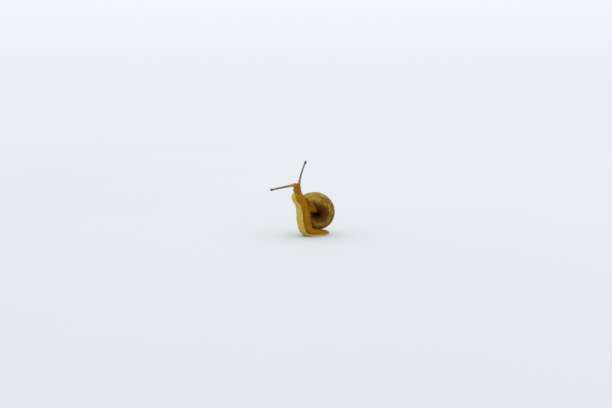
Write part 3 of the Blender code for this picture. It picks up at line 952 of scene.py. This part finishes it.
def horn_shell(settings):
    """Thin golden horn with spiral bands along the map's first axis and growth lines across them, and a
    near-black zone round the navel that is partly the body seen through the horn and partly painted shade of
    the underside. Blots, clouds and flecks break the bands, the pale ones less on one part of the last
    whorl."""
    s = Shading("horn_shell")
    coil = s.add("ShaderNodeUVMap", uv_map="coil").outputs["UV"]
    parts = s.add("ShaderNodeSeparateXYZ", {"Vector": coil})
    turn, up = parts.outputs["X"], parts.outputs["Y"]

    def cloudy(across, upward, detail=2.0, roughness=0.55):
        """Noise with this many clouds in a turn and round the section."""
        scaled = s.add("ShaderNodeMapping", {"Vector": coil, "Scale": (across, upward, 1.0)})
        return s.noise(scaled.outputs["Vector"], 1.0, detail, roughness)

    def before_lip(start, end, low, high):
        """A smooth step between two turns, counted back from the lip."""
        return s.ramp(turn, WHORLS - start, WHORLS - end, low, high)

    horn, light, band = settings.horn, settings.light, settings.band
    olive = tuple(0.5 * (a + b) * c for a, b, c in zip(horn, band, OLIVE_TINT))
    paints = {"dark": settings.dark, "band": band, "horn": horn, "light": light, "olive": olive}

    slow = s.math("SUBTRACT", cloudy(5.0, 5.0, 3.0), 0.5)
    quick = s.math("SUBTRACT", cloudy(45.0, 20.0), 0.5)
    drift = s.math("ADD", s.times(slow, 0.16), s.times(quick, 0.045))
    narrowing = s.times(before_lip(0.30, 0.17, 0.0, 0.055), before_lip(0.11, 0.03, 1.0, 0.0))
    narrowing = s.times(narrowing, s.ramp(up, 0.25, 0.45, 1.0, 0.0))
    wandering = s.math("ADD", s.math("ADD", up, narrowing), drift)
    bands = [(place, shade(paints[name], strength)) for place, name, strength in SPIRAL_BANDS_AND_NAVEL_SHADE]
    # Away from the near-black navel zone, which is body colour and painted shade.
    away = s.ramp(wandering, 0.22, 0.31)
    marked = s.math("MAXIMUM", before_lip(0.51, 0.38, 0.25, 1.0), before_lip(0.95, 0.78, 1.0, 0.0))
    marked = s.times(marked, away)
    clouds = cloudy(13.0, 11.0)
    flecks = cloudy(23.0, 26.0, 3.0, 0.6)
    lines = cloudy(150.0, 1.6, 3.0, 0.65)
    base = s.over(
        s.stops(wandering, bands),
        # The early whorls have no bands.
        (s.ramp(turn, 1.3, 2.1, 1.0, 0.0), s.mix(s.ramp(up, 0.6, 0.9), light, band)),
        # Brown clouds, pale clouds, brown blots, yellow flecks, pale streaks and growth lines.
        (s.times(s.ramp(clouds, 0.52, 0.64, 0.0, 0.5), away), shade(band, 1.5)),
        (s.times(s.ramp(clouds, 0.46, 0.36, 0.0, 0.5), marked), shade(light, 1.15)),
        (s.times(s.ramp(cloudy(27.0, 17.0), 0.54, 0.62, 0.0, 0.75), away), shade(band, 1.1)),
        (s.times(s.ramp(flecks, 0.555, 0.63, 0.0, 0.72), marked), settings.fleck),
        (s.times(s.ramp(cloudy(21.0, 1.1), 0.52, 0.70, 0.0, 0.35), marked), light),
        (s.ramp(lines, 0.35, 0.62, 0.45, 0.0), shade(band, 0.7)),
        # The newest horn is paler, partly painted light where the shell's top faces the sky, and its crest
        # gets a painted highlight of the sky's bluish reflection. The lip is paler. The inner wall is plain.
        # Paler new growth, partly painted light on the shell's top.
        (s.times(before_lip(0.17, 0.05, 0.0, 0.28), away), shade(light, 1.15)),
        # Painted highlight: the sky's reflection on the newest horn's crest.
        (s.times(s.ramp(up, 0.28, 0.40), before_lip(0.30, 0.14, 0.0, 0.25)), tint(light, CREST_HIGHLIGHT_TINT)),
        (s.times(before_lip(0.030, 0.004, 0.0, 0.5), away), shade(light, 1.1)),
        (s.number("inside"), shade(light, 0.8)),
    )
    height = s.math("ADD", s.times(lines, 0.7), s.times(s.noise(coil, 60.0, 2.0), 0.3))
    return s.finish(
        Base_Color=base,
        Roughness=s.ramp(flecks, 0.3, 0.7, 0.40, 0.58),
        Normal=s.bump(height, 0.03 * MM, 0.7),
        Specular_IOR_Level=0.05,
        Subsurface_Weight=0.06,
        Subsurface_Radius=(1.0, 0.6, 0.25),
        Subsurface_Scale=0.5 * MM,
    )


def eye_gloss(settings):
    """Wet dark brown, with a slightly lighter mottle."""
    s = Shading("eye_gloss")
    mottle = s.noise(s.place(), 9000.0, 2.0)
    tone = s.mix(s.ramp(mottle, 0.4, 0.7), settings.bead, shade(settings.bead, 2.4))
    return s.finish(Base_Color=tone, Roughness=s.ramp(mottle, 0.3, 0.7, 0.12, 0.22), Coat_Weight=0.1)


def studio_floor(settings):
    """Plain matt pale floor, barely cloudy, which takes the horizon's tone with distance."""
    s = Shading("studio_floor")
    place = s.place()
    cloud = s.noise(place, 6.0, 2.0)
    tone = s.mix(s.ramp(cloud, 0.3, 0.7), shade(settings.floor, 0.985), settings.floor)
    ball = s.add("ShaderNodeTexGradient", {"Vector": place}, gradient_type="SPHERICAL")
    nearness = ball.outputs["Fac"]
    tone = s.mix(s.ramp(nearness, 0.0, 0.85, 1.0, 0.0), tone, tint(settings.floor, FAR_FLOOR_TINT))
    return s.finish(Base_Color=tone, Roughness=0.9)


# -------- operators


class SNAIL_OT_skin(bpy.types.Operator):
    """Draw one skin over foot, trunk, neck, head, feelers and mantle"""

    bl_idname = "snail.skin"
    bl_label = "Living skin"

    def execute(self, context):
        settings = context.scene.snail_skin
        nodes = [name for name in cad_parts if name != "shell" and not name.endswith("_eye")]
        new_piece("living_skin", skin_mesh(settings), moist_skin(settings), nodes)
        return {"FINISHED"}


class SNAIL_OT_shell(bpy.types.Operator):
    """Coil the shell with its lip, growth ridges and navel"""

    bl_idname = "snail.shell"
    bl_label = "Coiled shell"

    def execute(self, context):
        settings = context.scene.snail_shell
        new_piece("coiled_shell", shell_mesh(settings), horn_shell(settings), ["shell"])
        return {"FINISHED"}


class SNAIL_OT_eyes(bpy.types.Operator):
    """Set an eye into the bulb at the end of each long feeler"""

    bl_idname = "snail.eyes"
    bl_label = "Eyes"

    def execute(self, context):
        settings = context.scene.snail_eyes
        material = eye_gloss(settings)
        radius = settings.radius / MM
        for index, side in enumerate(SIDES):
            ends = upper_path(index, np.array([0.97, 1.0]))
            forwards = unit(ends[1] - ends[0])
            first, second = square_axes(forwards)
            ball = lump((0, 0, 0), (radius, radius, radius * 0.92))
            rings = ends[1] + forwards * EYE_SEAT + ball @ np.stack([first, second, forwards])
            points, quads, triangles = rings_to_solid(rings[::-1])
            mesh = bpy.data.meshes.new(f"{side}_eye_bead")
            fill_mesh(mesh, points * MM, quads, triangles)
            new_piece(f"{side}_eye_bead", mesh, material, [f"{side}_eye"])
        return {"FINISHED"}


class SNAIL_OT_studio(bpy.types.Operator):
    """Lay the pale floor, hang the soft light and set up the camera"""

    bl_idname = "snail.studio"
    bl_label = "Studio"

    def execute(self, context):
        settings = context.scene.snail_studio
        radius = np.array(FLOOR_RINGS)[:, None]
        turn = circle_angles(FLOOR_SIDES)[None]
        rings = np.stack([radius * np.cos(turn), radius * np.sin(turn), 0 * radius * turn], -1)
        quads = grid_faces(len(FLOOR_RINGS), FLOOR_SIDES)[:, ::-1]
        mesh = bpy.data.meshes.new("floor")
        fill_mesh(mesh, rings.reshape(-1, 3), quads, np.empty((0, 3), int))
        mesh.materials.append(studio_floor(settings))
        floor = new_object("floor", mesh)
        self.surroundings(context, settings)
        self.key_light(settings)
        context.scene.view_settings.view_transform = "Standard"
        self.aim_camera(context, settings)
        return {"FINISHED"}

    def surroundings(self, context, settings):
        """A world that brightens from the horizon to straight above."""
        world = bpy.data.worlds.new("overcast")
        world.use_nodes = True
        nodes, links = world.node_tree.nodes, world.node_tree.links
        way = nodes.new("ShaderNodeTexCoord")
        parts = nodes.new("ShaderNodeSeparateXYZ")
        mix = nodes.new("ShaderNodeMix")
        mix.data_type = "RGBA"
        mix.inputs[6].default_value = (*settings.horizon, 1)
        mix.inputs[7].default_value = (*(settings.overhead_strength * c for c in settings.overhead), 1)
        links.new(way.outputs["Generated"], parts.inputs["Vector"])
        links.new(parts.outputs["Z"], mix.inputs["Factor"])
        links.new(mix.outputs[2], nodes["Background"].inputs["Color"])
        context.scene.world = world

    def key_light(self, settings):
        """A large square soft light that faces the snail."""
        light = bpy.data.lights.new("key_light", "AREA")
        light.energy = settings.key
        light.size = KEY_WIDTH
        lamp = new_object("key_light", light)
        lamp.location = KEY_PLACE
        lamp.rotation_euler = Vector(KEY_PLACE).to_track_quat("Z", "Y").to_euler()

    def aim_camera(self, context, settings):
        """The camera looks at a point beside and above the snail's foot."""
        turn, lift = settings.azimuth, settings.elevation
        level = math.cos(lift)
        towards = Vector((math.sin(turn) * level, -math.cos(turn) * level, math.sin(lift)))
        right = Vector((math.cos(turn), math.sin(turn), 0))
        upward = towards.cross(right)
        target = upward * settings.below - right * settings.aside
        lens = bpy.data.cameras.new("camera")
        lens.lens = settings.focal
        lens.sensor_width = 36
        lens.clip_start = 0.01
        lens.clip_end = 50
        camera = new_object("camera", lens)
        axes = Matrix((right, upward, towards)).transposed().to_4x4()
        camera.matrix_world = Matrix.Translation(target + towards * settings.distance) @ axes
        context.scene.camera = camera


class SNAIL_PT_panel(bpy.types.Panel):
    """Lists each step with its settings"""

    bl_label = "Garden snail"
    bl_space_type = "VIEW_3D"
    bl_region_type = "UI"
    bl_category = "Snail"

    def draw(self, context):
        for operator, _, group in PIECES:
            box = self.layout.box()
            box.operator(operator)
            settings = getattr(context.scene, group)
            for name in settings.__annotations__:
                box.prop(settings, name)


PIECES = (
    ("snail.shell", ShellSettings, "snail_shell"),
    ("snail.skin", SkinSettings, "snail_skin"),
    ("snail.eyes", EyeSettings, "snail_eyes"),
    ("snail.studio", StudioSettings, "snail_studio"),
)
CLASSES = (SNAIL_OT_shell, SNAIL_OT_skin, SNAIL_OT_eyes, SNAIL_OT_studio, SNAIL_PT_panel)


def register():
    """Adds the settings, the operators and the panel."""
    for _, settings, group in PIECES:
        bpy.utils.register_class(settings)
        setattr(bpy.types.Scene, group, PointerProperty(type=settings))
    for cls in CLASSES:
        bpy.utils.register_class(cls)


def unregister():
    """Takes them away again."""
    for cls in reversed(CLASSES):
        bpy.utils.unregister_class(cls)
    for _, settings, group in reversed(PIECES):
        delattr(bpy.types.Scene, group)
        bpy.utils.unregister_class(settings)


def main():
    """Runs the steps in order."""
    register()
    for operator, _, _ in PIECES:
        group, name = operator.split(".")
        getattr(getattr(bpy.ops, group), name)()


if __name__ == "__main__":
    main()
